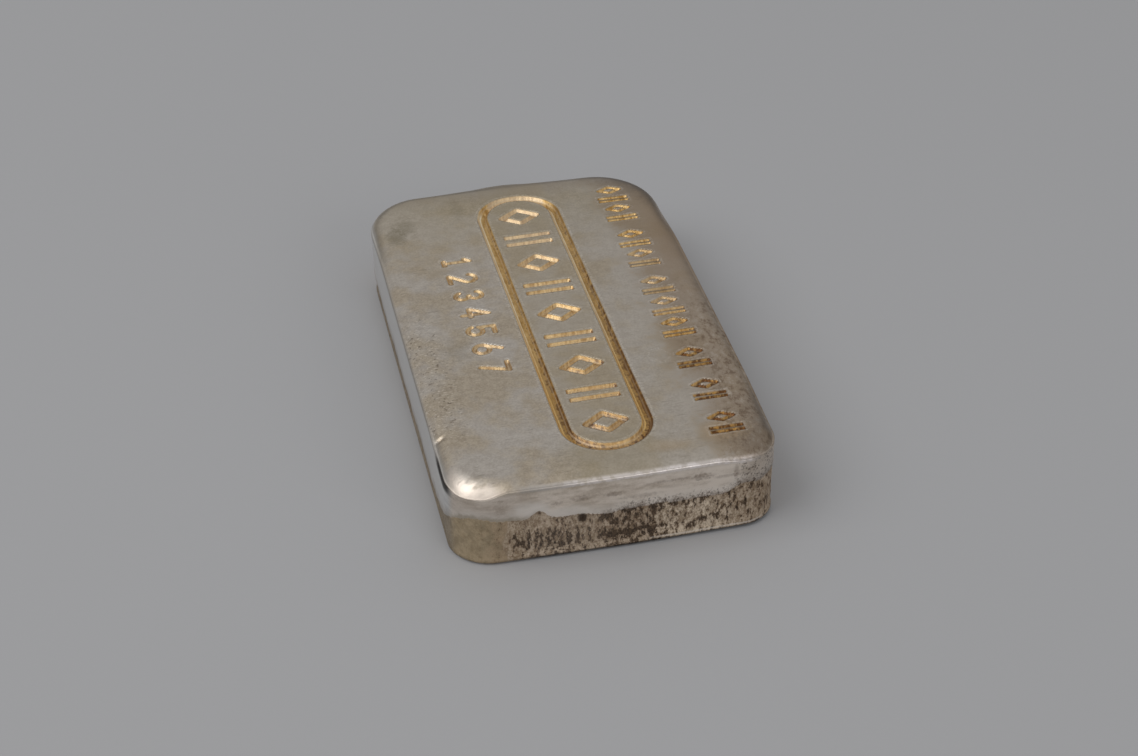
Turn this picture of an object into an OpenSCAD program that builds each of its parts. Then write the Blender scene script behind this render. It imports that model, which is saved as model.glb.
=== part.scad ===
// Small cast and pressed silver bar: one solid slab with bowed ends, rounded corners and edges.
// Its top carries a framed row of ornament, a line of border ornament and a plain number.
// Origin at the middle of the underside, +Y along the bar, +Z up.

/* [Bar] */
// Overall length, measured between the middles of the two bowed ends
bar_length = 69.3; // [63:0.1:77]
// Overall width, measured between the middles of the two bowed sides
bar_width = 39.5; // [37:0.1:46]
// Overall height
bar_height = 11.25; // [8:0.05:16]
// How far each end stands out at its middle
end_bow = 0.4; // [0.1:0.05:0.8]
// How far each side stands out at its middle
side_bow = 0.1; // [0.05:0.05:0.5]
// Plan radius of the corner at the near left
near_left_radius = 5.1; // [3.6:0.1:8]
// Plan radius of the corner at the near right
near_right_radius = 4.6; // [3.6:0.1:8]
// Plan radius of the corner at the far left
far_left_radius = 7; // [3.6:0.1:8]
// Plan radius of the corner at the far right
far_right_radius = 8.4; // [3.6:0.1:9]
// How far the walls lean in from the crease down to the underside
wall_lean = 0.2; // [0:0.05:0.6]
// Radius of the cast edge round the underside
bottom_edge_radius = 0.5; // [0.2:0.1:1.2]

/* [Shoulder] */
// How far in from the walls the top starts to roll down
shoulder_reach = 2.4; // [1.4:0.1:3.4]
// How far the rolled shoulder drops along the sides and the far end
shoulder_drop = 0.75; // [0.5:0.05:1.2]
// How far it drops along the near end
near_end_drop = 0.9; // [0.5:0.05:1.2]
// How far it drops round the two far corners and the near left one
corner_drop = 1.75; // [0.5:0.05:1.8]
// How far it drops round the near right corner
near_right_drop = 1.3; // [0.5:0.05:1.8]
// Length of the sides and the far end over which the drop changes between the two
drop_run = 12; // [4:0.5:15]
// The same along the near end, where the pressed metal fills out sooner
near_drop_run = 4; // [3:0.5:14]
// Radius of the crease where the shoulder meets the walls
crease_radius = 0.35; // [0.2:0.05:0.8]

/* [Marks] */
// Turn of all the stamped marks against the bar, in degrees
marks_turn = 0.6; // [-1:0.1:1]
// Distance from the frame's ends to the shoulder, before the frame is shifted
end_margin = 2.7; // [1.6:0.1:4]

/* [Frame] */
// Width of the frame, between the centre lines of its long grooves
frame_width = 9.9; // [9:0.1:12]
// Width of the frame's groove at the surface
frame_groove_width = 1.4; // [0.8:0.1:1.6]
// Width of the groove's flat bottom
frame_groove_floor = 0.5; // [0.2:0.1:0.7]
// Depth of the frame's groove
frame_groove_depth = 0.55; // [0.3:0.05:0.8]
// How far the frame's middle lies right of the bar's
frame_offset = 0.4; // [-1:0.1:1]
// How far the frame and what it holds lie towards the far end
frame_shift = 0; // [-0.8:0.1:0.8]
// Number of motifs inside the frame, lozenges and pairs of bars in turn
motif_count = 9; // [7:2:9]
// Length of one motif along the bar
motif_length = 4.6; // [3.6:0.1:4.8]
// Height of one motif across the bar
motif_height = 6.2; // [5:0.1:6.6]
// Stroke of the motifs
motif_stroke = 0.9; // [0.6:0.1:1.1]
// Depth of the motifs
motif_depth = 0.5; // [0.3:0.05:0.7]

/* [Border line] */
// Distance of the line's middle from the bar's right side
border_inset = 5.9; // [5:0.1:6.2]
// Distance from the line's ends to the shoulder, before it is shifted
border_margin = 2; // [1:0.1:4]
// How far the line lies towards the far end
border_shift = -0.5; // [-0.8:0.1:0.4]
// Height of the border motifs, across the bar
border_height = 4.1; // [3.4:0.1:4.4]
// Length of one border motif along the bar
border_motif_length = 2.1; // [1.6:0.1:2.1]
// Stroke of the border motifs
border_stroke = 0.55; // [0.4:0.05:0.6]
// Depth of the border motifs
border_depth = 0.4; // [0.2:0.05:0.6]

/* [Number] */
// Distance of the number's middle from the bar's left side
number_inset = 9.8; // [9:0.1:10.4]
// How far the number's middle lies towards the far end
number_shift = 2.5; // [-6:0.1:6]
// Height of the digits, across the bar
digit_height = 4; // [3:0.1:4.2]
// Width of a digit along the bar
digit_width = 2.5; // [2:0.1:3]
// Distance from one digit to the next
digit_pitch = 4.2; // [3.8:0.05:4.8]
// Stroke of the digits
digit_stroke = 0.65; // [0.4:0.05:0.75]
// Depth of the digits
digit_depth = 0.4; // [0.2:0.05:0.6]

/* [Hidden] */
silver = [0.72, 0.7, 0.66];
over = 0.2; // every cutter stands this far above the surface that it cuts
groove_fn = 96;
mark_fn = 48;

half_l = bar_length / 2;
half_w = bar_width / 2;
// The slab before its ends and sides are bowed out
plain_l = half_l - end_bow;
plain_w = half_w - side_bow;

// Steps of the slab's surface: round each corner, along each end and side, and up each section
corner_steps = 8;
end_steps = 8;
side_steps = 8;
shoulder_steps = 5;
crease_steps = 2;
bottom_steps = 2;

// Frame: it ends the same margin from both ends of the flat top
frame_length = bar_length - 2 * (shoulder_reach + end_margin);
frame_straight = frame_length - frame_width;
motif_pitch = frame_straight / (motif_count - 1);

// Border line: groups of motifs with a space between groups
border_groups = [4, 4, 6, 2, 2, 2];
border_space = 0.75; // space between groups, in motif pitches
border_slots = sum_first(border_groups, len(border_groups)) + border_space * (len(border_groups) - 1);
border_length = bar_length - 2 * (shoulder_reach + border_margin);
border_pitch = border_length / border_slots;

number_digits = [1, 2, 3, 4, 5, 6, 7];

// Sum of a list's first n values
function sum_first(list, n) = n == 0 ? 0 : list[n - 1] + sum_first(list, n - 1);

// ---- The slab

// The plan is a ring of stations round the unbowed slab, anticlockwise: [x, y, direction of the
// outward normal, drop of the shoulder]. Each list leaves out its last station, the next one's first.

// Drop at a distance along the wall from a corner's arc, easing over this run to the wall's own
function drop_at(distance, run, drop, corner) =
    let(rest = max(0, 1 - distance / run)) drop + (corner - drop) * rest * rest * (3 - 2 * rest);

// The corner whose arc starts in the direction start, at the plan's corner (side, end)
function corner_stations(side, end, radius, start, drop) = [
    for (i = [0:corner_steps - 1]) let(a = start + 90 * i / corner_steps)
        [side * (plain_w - radius) + radius * cos(a), end * (plain_l - radius) + radius * sin(a), a, drop]
];

// A straight stretch of wall from one point to another, facing the direction normal. drops holds the
// first corner's drop, the wall's own and the next corner's.
function wall_stations(from, to, normal, steps, run, drops) = [
    for (i = [0:steps - 1])
        let(length = norm(to - from), t = (1 - cos(180 * i / steps)) / 2)
        concat(from + (to - from) * t, [normal, drop_at(length * min(t, 1 - t), run, drops[1], drops[t < 0.5 ? 0 : 2])])
];

stations = concat(
    wall_stations([plain_w, near_right_radius - plain_l], [plain_w, plain_l - far_right_radius],
        0, side_steps, drop_run, [near_right_drop, shoulder_drop, corner_drop]),
    corner_stations(1, 1, far_right_radius, 0, corner_drop),
    wall_stations([plain_w - far_right_radius, plain_l], [far_left_radius - plain_w, plain_l],
        90, end_steps, drop_run, [corner_drop, shoulder_drop, corner_drop]),
    corner_stations(-1, 1, far_left_radius, 90, corner_drop),
    wall_stations([-plain_w, plain_l - far_left_radius], [-plain_w, near_left_radius - plain_l],
        180, side_steps, drop_run, [corner_drop, shoulder_drop, corner_drop]),
    corner_stations(-1, -1, near_left_radius, 180, corner_drop),
    wall_stations([near_left_radius - plain_w, -plain_l], [plain_w - near_right_radius, -plain_l],
        270, end_steps, near_drop_run, [corner_drop, near_end_drop, near_right_drop]),
    corner_stations(1, -1, near_right_radius, 270, near_right_drop)
);

// Moves a point of the unbowed slab out by its share of the end's and the side's bow
function bowed(x, y, z) = [
    x * (1 + side_bow / plain_w * (1 - pow(y / plain_l, 2))),
    y * (1 + end_bow / plain_l * (1 - pow(x / plain_w, 2))),
    z
];

// A section from the underside up to the flat top, as [distance in from the wall's widest line, height].
// The shoulder's arc is tangent to the top, and the crease's arc is tangent to the shoulder and the wall.
function section(drop) =
    let(radius = (shoulder_reach * shoulder_reach + drop * drop) / (2 * drop),
        rise = sqrt(pow(radius - crease_radius, 2) - pow(shoulder_reach - crease_radius, 2)),
        crease_z = bar_height - radius + rise,
        meet = atan2(rise, shoulder_reach - crease_radius))
    concat(
        [for (i = [0:bottom_steps]) let(a = 90 * i / bottom_steps)
            [wall_lean + bottom_edge_radius * (1 - sin(a)), bottom_edge_radius * (1 - cos(a))]],
        [for (i = [0:crease_steps - 1]) let(a = meet * i / crease_steps)
            [crease_radius * (1 - cos(a)), crease_z + crease_radius * sin(a)]],
        [for (i = [0:shoulder_steps]) let(a = meet + (90 - meet) * i / shoulder_steps)
            [shoulder_reach - radius * cos(a), bar_height - radius + radius * sin(a)]]
    );

module slab() {
    sections = [for (s = stations) section(s[3])];
    around = len(stations);
    levels = len(sections[0]);
    points = [
        for (k = [0:levels - 1]) for (i = [0:around - 1])
            let(s = stations[i], p = sections[i][k])
            bowed(s[0] - p[0] * cos(s[2]), s[1] - p[0] * sin(s[2]), p[1])
    ];
    walls = [
        for (k = [0:levels - 2]) for (i = [0:around - 1])
            let(a = k * around + i, d = k * around + (i + 1) % around)
            each [[a, a + around, d + around], [a, d + around, d]]
    ];
    underside = [for (i = [0:around - 1]) i];
    top = [for (i = [around - 1:-1:0]) (levels - 1) * around + i];
    polyhedron(points, concat(walls, [underside, top]));
}

// ---- The marks, drawn flat and reading along +X, with their feet towards -Y

module stroke(from, to, width) {
    run = to - from;
    translate(from) rotate(atan2(run[1], run[0])) {
        translate([0, -width / 2]) square([norm(run), width]);
        circle(width / 2, $fn = mark_fn);
        translate([norm(run), 0]) circle(width / 2, $fn = mark_fn);
    }
}

// An arc stroke about centre, from one angle to another, anticlockwise
module arc_stroke(centre, radius, from, to, width) {
    reach = 2 * (radius + width);
    translate(centre) {
        intersection() {
            difference() {
                circle(radius + width / 2, $fn = mark_fn);
                circle(radius - width / 2, $fn = mark_fn);
            }
            polygon(concat([[0, 0]], [for (i = [0:4]) let(a = from + (to - from) * i / 4) reach * [cos(a), sin(a)]]));
        }
        for (a = [from, to]) translate(radius * [cos(a), sin(a)]) circle(width / 2, $fn = mark_fn);
    }
}

// Lozenge outline with a small lozenge inside
module lozenge(length, height, width) {
    // how far a mitred edge of this stroke moves each tip inwards
    slope = norm([length, height]);
    inset_x = width * slope / height;
    inset_y = width * slope / length;
    difference() {
        rhombus(length, height);
        rhombus(length - 2 * inset_x, height - 2 * inset_y);
    }
}

module rhombus(length, height) {
    polygon([[length / 2, 0], [0, height / 2], [-length / 2, 0], [0, -height / 2]]);
}

// Two upright bars
module bar_pair(length, height, width) {
    gap = (length - width) / 4;
    for (side = [-1, 1]) translate([side * gap - width / 2, -height / 2]) square([width, height]);
}

module motif(index, length, height, width) {
    if (index % 2 == 0) lozenge(length, height, width);
    else bar_pair(length, height, width);
}

module framed_row() {
    for (i = [0:motif_count - 1])
        translate([(i - (motif_count - 1) / 2) * motif_pitch, 0]) motif(i, motif_length, motif_height, motif_stroke);
}

module border_line() {
    for (g = [0:len(border_groups) - 1]) {
        first = sum_first(border_groups, g) + g * border_space;
        for (i = [0:border_groups[g] - 1])
            translate([(first + i + 0.5) * border_pitch - border_length / 2, 0])
                motif(i, border_motif_length, border_height, border_stroke);
    }
}

// A digit, in a cell digit_width wide and digit_height high round the origin
module digit(d) {
    x = (digit_width - digit_stroke) / 2;
    y = (digit_height - digit_stroke) / 2;
    bowl = x;
    w = digit_stroke;
    if (d == 1) {
        stroke([0, -y], [0, y], w);
        stroke([0, y], [-0.7 * x, y - 0.7 * x], w);
        stroke([-0.6 * x, -y], [0.6 * x, -y], w);
    }
    if (d == 2) {
        arc_stroke([0, y - bowl], bowl, -40, 170, w);
        stroke([bowl * cos(40), y - bowl - bowl * sin(40)], [-x, -y], w);
        stroke([-x, -y], [x, -y], w);
    }
    if (d == 3) {
        arc_stroke([0, y / 2], y / 2, -90, 160, w);
        arc_stroke([0, -y / 2], y / 2, -160, 90, w);
    }
    if (d == 4) {
        stroke([0.45 * x, -y], [0.45 * x, y], w);
        stroke([0.45 * x, y], [-x, -0.4 * y], w);
        stroke([-x, -0.4 * y], [x, -0.4 * y], w);
    }
    if (d == 5) {
        stroke([-0.8 * x, y], [0.8 * x, y], w);
        stroke([-0.8 * x, y], [-0.8 * x, 0.15 * y], w);
        arc_stroke([0, bowl - y], bowl, -160, 145, w);
    }
    if (d == 6) {
        arc_stroke([0, bowl - y], bowl, 0, 360, w);
        stroke([-bowl, bowl - y], [0.25 * x, y], w);
    }
    if (d == 7) {
        stroke([-x, y], [x, y], w);
        stroke([x, y], [-0.3 * x, -y], w);
    }
}

module number() {
    n = len(number_digits);
    for (i = [0:n - 1]) translate([(i - (n - 1) / 2) * digit_pitch, 0]) digit(number_digits[i]);
}

// Lays a flat drawing on the top, reading from the far end to the near one, and sinks it
module sunk(x, y, depth) {
    translate([x, y, bar_height - depth]) rotate([0, 0, -90]) linear_extrude(depth + over) children();
}

// Section of the frame's groove, its slanting walls carried on above the surface
module groove_section() {
    slant = (frame_groove_width - frame_groove_floor) / 2 / frame_groove_depth;
    mouth = frame_groove_width / 2 + slant * over;
    polygon([[-frame_groove_floor / 2, -frame_groove_depth], [frame_groove_floor / 2, -frame_groove_depth],
             [mouth, over], [-mouth, over]]);
}

module frame_groove() {
    for (side = [0, 1]) mirror([side, 0, 0]) translate([frame_width / 2, frame_straight / 2, 0])
        rotate([90, 0, 0]) linear_extrude(frame_straight) groove_section();
    for (end = [0, 1]) mirror([0, end, 0]) translate([0, frame_straight / 2, 0])
        rotate_extrude(angle = 180, $fn = groove_fn) translate([frame_width / 2, 0]) groove_section();
}

module marks() {
    rotate([0, 0, marks_turn]) {
        translate([frame_offset, frame_shift, bar_height]) frame_groove();
        sunk(frame_offset, frame_shift, motif_depth) framed_row();
        sunk(half_w - border_inset, border_shift, border_depth) border_line();
        sunk(number_inset - half_w, number_shift, digit_depth) number();
    }
}

module silver_bar() {
    color(silver) difference() {
        slab();
        marks();
    }
}

silver_bar();
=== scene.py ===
import math

import bpy
import numpy as np
from mathutils import Matrix


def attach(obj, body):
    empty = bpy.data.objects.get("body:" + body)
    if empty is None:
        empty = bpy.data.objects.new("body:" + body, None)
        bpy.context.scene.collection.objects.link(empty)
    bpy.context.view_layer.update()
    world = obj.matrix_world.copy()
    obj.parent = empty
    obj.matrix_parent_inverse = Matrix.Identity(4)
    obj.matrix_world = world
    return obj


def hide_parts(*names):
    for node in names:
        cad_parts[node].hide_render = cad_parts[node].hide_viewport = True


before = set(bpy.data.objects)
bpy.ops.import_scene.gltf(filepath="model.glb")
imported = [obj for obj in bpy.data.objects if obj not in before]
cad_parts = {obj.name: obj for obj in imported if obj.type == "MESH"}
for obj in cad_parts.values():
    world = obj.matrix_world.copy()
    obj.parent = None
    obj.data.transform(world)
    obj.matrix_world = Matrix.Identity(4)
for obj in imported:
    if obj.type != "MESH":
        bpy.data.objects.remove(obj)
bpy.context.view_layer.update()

# ---- Camera
# It looks down on the bar's near end from a little to the left, from about a forearm's length
# away, through a fairly long lens.

camera = bpy.data.objects.new("camera", bpy.data.cameras.new("camera"))
bpy.context.scene.collection.objects.link(camera)
camera.data.sensor_width = 36.0
camera.data.lens = 70.76
camera.data.clip_start, camera.data.clip_end = 0.01, 20.0
camera.location = (-0.04668, -0.23319, 0.16414)
looks_right, looks_down, leans = math.radians(11.67), math.radians(34.45), math.radians(-1.3)
camera.rotation_euler = (
    Matrix.Rotation(-looks_right, 3, "Z")
    @ Matrix.Rotation(math.pi / 2 - looks_down, 3, "X")
    @ Matrix.Rotation(leans, 3, "Z")
).to_euler()
bpy.context.scene.camera = camera

# ---- Table top and light
# A plain matt table top in light grey card. A wide soft box hangs high on the left, a smaller one
# stands in front on the right, and an even grey room, brighter overhead, gives the rest.

table_half = 1.5
card_grey, card_rough, card_gloss = (0.43, 0.43, 0.438, 1.0), 0.85, 0.2
room_white, room_low, room_high, room_bright_from = (0.985, 0.99, 1.0, 1.0), 0.11, 0.5, 0.42


class Reading:
    """A value that a shader node gives, which adds and multiplies as numbers do."""

    def __init__(self, finish, socket):
        self.finish, self.socket = finish, socket

    def with_(self, operation, first, second):
        return self.finish.node("ShaderNodeMath", {"operation": operation}, {0: first, 1: second})

    def __add__(self, other):
        return self.with_("ADD", self, other)

    def __mul__(self, other):
        return self.with_("MULTIPLY", self, other)

    def __sub__(self, other):
        return self.with_("SUBTRACT", self, other)

    def __rsub__(self, other):
        return self.with_("SUBTRACT", other, self)

    def __abs__(self):
        return self.with_("ABSOLUTE", self, 0.0)

    __radd__, __rmul__ = __add__, __mul__


class Finish:
    """The nodes of a material, or of the room, while they are put together."""

    def __init__(self, owner):
        owner.use_nodes = True
        self.tree = owner.node_tree
        self.tree.nodes.clear()

    def node(self, kind, settings, sockets, out=0):
        """Adds a node, with its settings first and then its sockets' values or links."""
        made = self.tree.nodes.new(kind)
        for name, value in settings.items():
            setattr(made, name, value)
        for name, value in sockets.items():
            if isinstance(value, Reading):
                self.tree.links.new(value.socket, made.inputs[name])
            else:
                made.inputs[name].default_value = value
        return Reading(self, made.outputs[out]) if made.outputs else None

    def mix(self, share, first, second):
        """The first colour turning into the second as share goes from 0 to 1."""
        first, second = ((*c, 1.0) if isinstance(c, tuple) else c for c in (first, second))
        return self.node("ShaderNodeMix", {"data_type": "RGBA"}, {0: share, 6: first, 7: second}, 2)

    def eased(self, value, low, high, least=0.0, most=1.0):
        """The least at low, the most at high and a smooth step between."""
        span = {"From Min": low, "From Max": high, "To Min": least, "To Max": most}
        return self.node("ShaderNodeMapRange", {"interpolation_type": "SMOOTHSTEP"}, {"Value": value, **span})

    def noise(self, place, scale, detail=3.0, rough=0.55, stretch=(1.0, 1.0, 1.0), turn=0.0):
        """Noise with this many lumps to a unit of place, which is scaled by stretch on each axis
        and then turned about the upright."""
        at = self.node("ShaderNodeMapping", {}, {0: place, 2: (0.0, 0.0, turn), 3: stretch})
        lumps = {"Vector": at, "Scale": scale, "Detail": detail, "Roughness": rough}
        return self.node("ShaderNodeTexNoise", {}, lumps)


table_mesh = bpy.data.meshes.new("table_top")
corners = [(x * table_half, y * table_half, 0) for x, y in ((-1, -1), (1, -1), (1, 1), (-1, 1))]
table_mesh.from_pydata(corners, [], [(0, 1, 2, 3)])
table_top = bpy.data.objects.new("table_top", table_mesh)
bpy.context.scene.collection.objects.link(table_top)

grey_card = bpy.data.materials.new("grey_card")
card = Finish(grey_card)
card_look = {"Base Color": card_grey, "Roughness": card_rough, "Specular IOR Level": card_gloss}
card_shader = card.node("ShaderNodeBsdfPrincipled", {}, card_look)
card.node("ShaderNodeOutputMaterial", {}, {"Surface": card_shader})
table_mesh.materials.append(grey_card)

bpy.context.scene.world = bpy.data.worlds.new("room")
room = Finish(bpy.context.scene.world)
facing = room.node("ShaderNodeTexCoord", {}, {})
height_in_room = room.node("ShaderNodeSeparateXYZ", {}, {0: facing}, 2)
strength = room.eased(height_in_room, 0.0, room_bright_from, room_low, room_high)
room_light = room.node("ShaderNodeBackground", {}, {"Color": room_white, "Strength": strength})
room.node("ShaderNodeOutputWorld", {}, {"Surface": room_light})
bpy.context.scene.view_settings.view_transform = "Standard"


def soft_box(name, size, power, place, aim):
    """A square area lamp at place, facing the point aim."""
    lamp = bpy.data.objects.new(name, bpy.data.lights.new(name, "AREA"))
    lamp.data.shape = "SQUARE"
    lamp.data.size = size
    lamp.data.energy = power
    lamp.location = place
    away = [p - a for p, a in zip(place, aim)]
    yaw = math.atan2(away[1], away[0])
    pitch = math.atan2(math.hypot(away[0], away[1]), away[2])
    lamp.rotation_euler = (0.0, pitch, yaw)
    bpy.context.scene.collection.objects.link(lamp)


soft_box("left_box", 0.8, 3.6, (-0.66, -0.14, 0.8), (0, 0, 0))
soft_box("front_box", 0.6, 1.8, (0.45, -1.0, 0.45), (0, 0, 0))

# ---- The bar
# One solid piece of fine silver. It was cast as a blank, whose rough skin still shows low on its
# walls, and then pressed, which smoothed the top, rolled its shoulders down and struck the marks.

# Sizes are in millimetres. The length runs along y, with the near end at -y and the left side at -x.
bar_length, bar_width, bar_height = 69.3, 39.5, 11.25
end_bow, side_bow = 0.4, 0.1
plain_l, plain_w = bar_length / 2 - end_bow, bar_width / 2 - side_bow
near_radii, far_radii = (5.1, 4.6), (7.0, 8.4)  # plan radii of the corners, left and right
shoulder_reach = 2.4
side_drop, near_end_drop, corner_drop, near_right_drop = 0.75, 0.9, 1.75, 1.3
drop_run, near_drop_run = 12.0, 4.0  # how far beyond a corner its deeper shoulder dies away
near_left_drop_from, near_left_drop_run = -12.6, 3.6  # and where it does so left on the near end
crease_radius, wall_lean, foot_radius = 0.35, 0.2, 0.5


def plan_radius(x, y):
    """Plan radius of the corner in whose quarter a point lies."""
    return np.where(y > 0, np.where(x < 0, *far_radii), np.where(x < 0, *near_radii))


def smooth(t):
    """Eases from 0 to 1 as t does."""
    t = np.clip(t, 0.0, 1.0)
    return t * t * (3.0 - 2.0 * t)


def wall_facts(x, y):
    """For points of the unbowed plan: how far in from the wall, the wall's outward normal there,
    and how far the shoulder drops."""
    radius = plan_radius(x, y)
    past_x, past_y = np.abs(x) - (plain_w - radius), np.abs(y) - (plain_l - radius)
    cornered = (past_x > 0) & (past_y > 0)
    reach = np.maximum(np.hypot(past_x, past_y), 1e-9)
    to_side, to_end = plain_w - np.abs(x), plain_l - np.abs(y)
    by_side = to_side < to_end
    inset = np.where(cornered, radius - reach, np.minimum(to_side, to_end))
    normal_x = np.sign(x) * np.where(cornered, past_x / reach, by_side)
    normal_y = np.sign(y) * np.where(cornered, past_y / reach, ~by_side)
    run = np.where(cornered, 0.0, np.maximum(0.0, -np.where(by_side, past_y, past_x)))
    at_near_end, near_right = ~by_side & (y < 0), (x > 0) & (y < 0)
    least = np.where(at_near_end, near_end_drop, side_drop)
    most = np.where(near_right, near_right_drop, corner_drop)
    share = smooth(1.0 - run / np.where(at_near_end, near_drop_run, drop_run))
    on_wall_x = np.where(cornered, np.sign(x) * (plain_w - radius + radius * past_x / reach), x)
    near_left_share = smooth((near_left_drop_from - on_wall_x) / near_left_drop_run)
    share = np.where(at_near_end & (x < 0), near_left_share, share)
    return inset, normal_x, normal_y, least + (most - least) * share


def bowed(x, y):
    """Moves a point of the unbowed plan out by its share of the sides' and the ends' bow."""
    return (
        x * (1.0 + side_bow / plain_w * (1.0 - (y / plain_l) ** 2)),
        y * (1.0 + end_bow / plain_l * (1.0 - (x / plain_w) ** 2)),
    )


def shoulder(drop):
    """Radius of the shoulder's arc, height of the crease and the angle at which the two arcs meet."""
    radius = (shoulder_reach**2 + drop**2) / (2.0 * drop)
    rise = np.sqrt((radius - crease_radius) ** 2 - (shoulder_reach - crease_radius) ** 2)
    return radius, bar_height - radius + rise, np.arctan2(rise, shoulder_reach - crease_radius)


class Grain:
    """Smooth random relief: a lattice of random values from a seed, eased between its points."""

    def __init__(self, seed):
        self.values = np.random.default_rng(seed).uniform(-1.0, 1.0, (64, 64))

    def at(self, u, v):
        i, j = np.floor(u).astype(int), np.floor(v).astype(int)
        fu, fv = smooth(u - i), smooth(v - j)
        corner = [self.values[(i + a) % 64, (j + b) % 64] for a in (0, 1) for b in (0, 1)]
        low = corner[0] * (1 - fv) + corner[1] * fv
        high = corner[2] * (1 - fv) + corner[3] * fv
        return low * (1 - fu) + high * fu


# The marks, in the same places and sizes as in the solid: a long frame with motifs inside it, a
# border of small motifs along the right side and a number along the left side. Each reads along
# u, with its feet towards -v.
marks_turn = math.radians(0.6)
frame_width, frame_x, frame_y = 9.9, 0.4, 0.0
frame_length = bar_length - 2 * (shoulder_reach + 2.7)
frame_half_straight = (frame_length - frame_width) / 2
frame_mouth, frame_floor, frame_depth = 1.4, 0.5, 0.55
motif_count, motif_length, motif_height, motif_stroke = 9, 4.6, 6.2, 0.9
motif_depth, motif_slant = 0.5, 0.3
border_x, border_y = bar_width / 2 - 5.9, -0.5
border_length = bar_length - 2 * (shoulder_reach + 2.0)
border_groups, border_space = (4, 4, 6, 2, 2, 2), 0.75  # motifs in each group, space in steps
small_length, small_height, small_stroke, small_depth, small_slant = 2.1, 4.1, 0.55, 0.4, 0.2
number_x, number_y, number_pitch = 9.8 - bar_width / 2, 2.5, 4.2
digit_width, digit_height, digit_stroke, digit_depth, digit_slant = 2.5, 4.0, 0.65, 0.4, 0.25
mouth_round, wall_foot_spread, lip_off, lip_spread = 0.05, 0.16, 0.2, 0.14


def line_gap(u, v, a, b):
    """Distance from points to the straight stroke from a to b."""
    run_u, run_v = b[0] - a[0], b[1] - a[1]
    t = np.clip(((u - a[0]) * run_u + (v - a[1]) * run_v) / (run_u**2 + run_v**2), 0, 1)
    return np.hypot(u - a[0] - t * run_u, v - a[1] - t * run_v)


def arc_gap(u, v, centre, radius, start, end):
    """Distance from points to an arc stroke that runs anticlockwise from start to end, in degrees."""
    du, dv = u - centre[0], v - centre[1]
    turn = np.mod(np.degrees(np.arctan2(dv, du)) - start, 360.0)
    tips = [(radius * math.cos(math.radians(a)), radius * math.sin(math.radians(a))) for a in (start, end)]
    to_tips = np.minimum(*(np.hypot(du - tip[0], dv - tip[1]) for tip in tips))
    return np.where(turn <= end - start, np.abs(np.hypot(du, dv) - radius), to_tips)


def strike(relief, where, gap, width, depth, slant):
    """Sinks a groove of this width and depth, with walls that slant over this much, into the relief.
    The relief's columns are the depth, how near the foot of a groove's wall a point is, and the lip
    that the punch threw up beside it."""
    down = np.clip((width / 2 + mouth_round - gap) / slant, 0.0, 1.0)
    sunk = depth * (0.6 * down + 0.4 * smooth(down))
    foot = np.exp(-(((gap - width / 2 + slant) / wall_foot_spread) ** 2))
    lip = np.exp(-(((gap - width / 2 - lip_off) / lip_spread) ** 2))
    relief[where] = np.maximum(relief[where], np.column_stack([sunk, foot, lip]))


def motif_gap(index, u, v, length, height, stroke):
    """Distance to a lozenge's centre line for an even index, or to a pair of bars for an odd one."""
    if index % 2 == 0:
        slope = math.hypot(length, height)
        half_u = (length - stroke * slope / height) / 2
        half_v = (height - stroke * slope / length) / 2
        tips = [(half_u, 0), (0, half_v), (-half_u, 0), (0, -half_v)]
        return np.minimum.reduce([line_gap(u, v, tips[k], tips[(k + 1) % 4]) for k in range(4)])
    off = (length - stroke) / 4
    return np.maximum(np.abs(np.abs(u) - off), np.abs(v) - (height - stroke) / 2)


def digit_gap(digit, u, v):
    """Distance to a digit's strokes, in its own cell."""
    x, y = (digit_width - digit_stroke) / 2, (digit_height - digit_stroke) / 2
    dip = y - x - x * math.sin(math.radians(40))
    lines = {
        1: [((0, -y), (0, y)), ((0, y), (-0.7 * x, y - 0.7 * x)), ((-0.6 * x, -y), (0.6 * x, -y))],
        2: [((x * math.cos(math.radians(40)), dip), (-x, -y)), ((-x, -y), (x, -y))],
        3: [],
        4: [
            ((0.45 * x, -y), (0.45 * x, y)),
            ((0.45 * x, y), (-x, -0.4 * y)),
            ((-x, -0.4 * y), (x, -0.4 * y)),
        ],
        5: [((-0.8 * x, y), (0.8 * x, y)), ((-0.8 * x, y), (-0.8 * x, 0.15 * y))],
        6: [((-x, x - y), (0.25 * x, y))],
        7: [((-x, y), (x, y)), ((x, y), (-0.3 * x, -y))],
    }[digit]
    arcs = {
        2: [((0, y - x), x, -40, 170)],
        3: [((0, y / 2), y / 2, -90, 160), ((0, -y / 2), y / 2, -160, 90)],
        5: [((0, x - y), x, -160, 145)],
        6: [((0, x - y), x, 0, 360)],
    }.get(digit, [])
    gaps = [line_gap(u, v, *ends) for ends in lines] + [arc_gap(u, v, *arc) for arc in arcs]
    return np.minimum.reduce(gaps)


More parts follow.
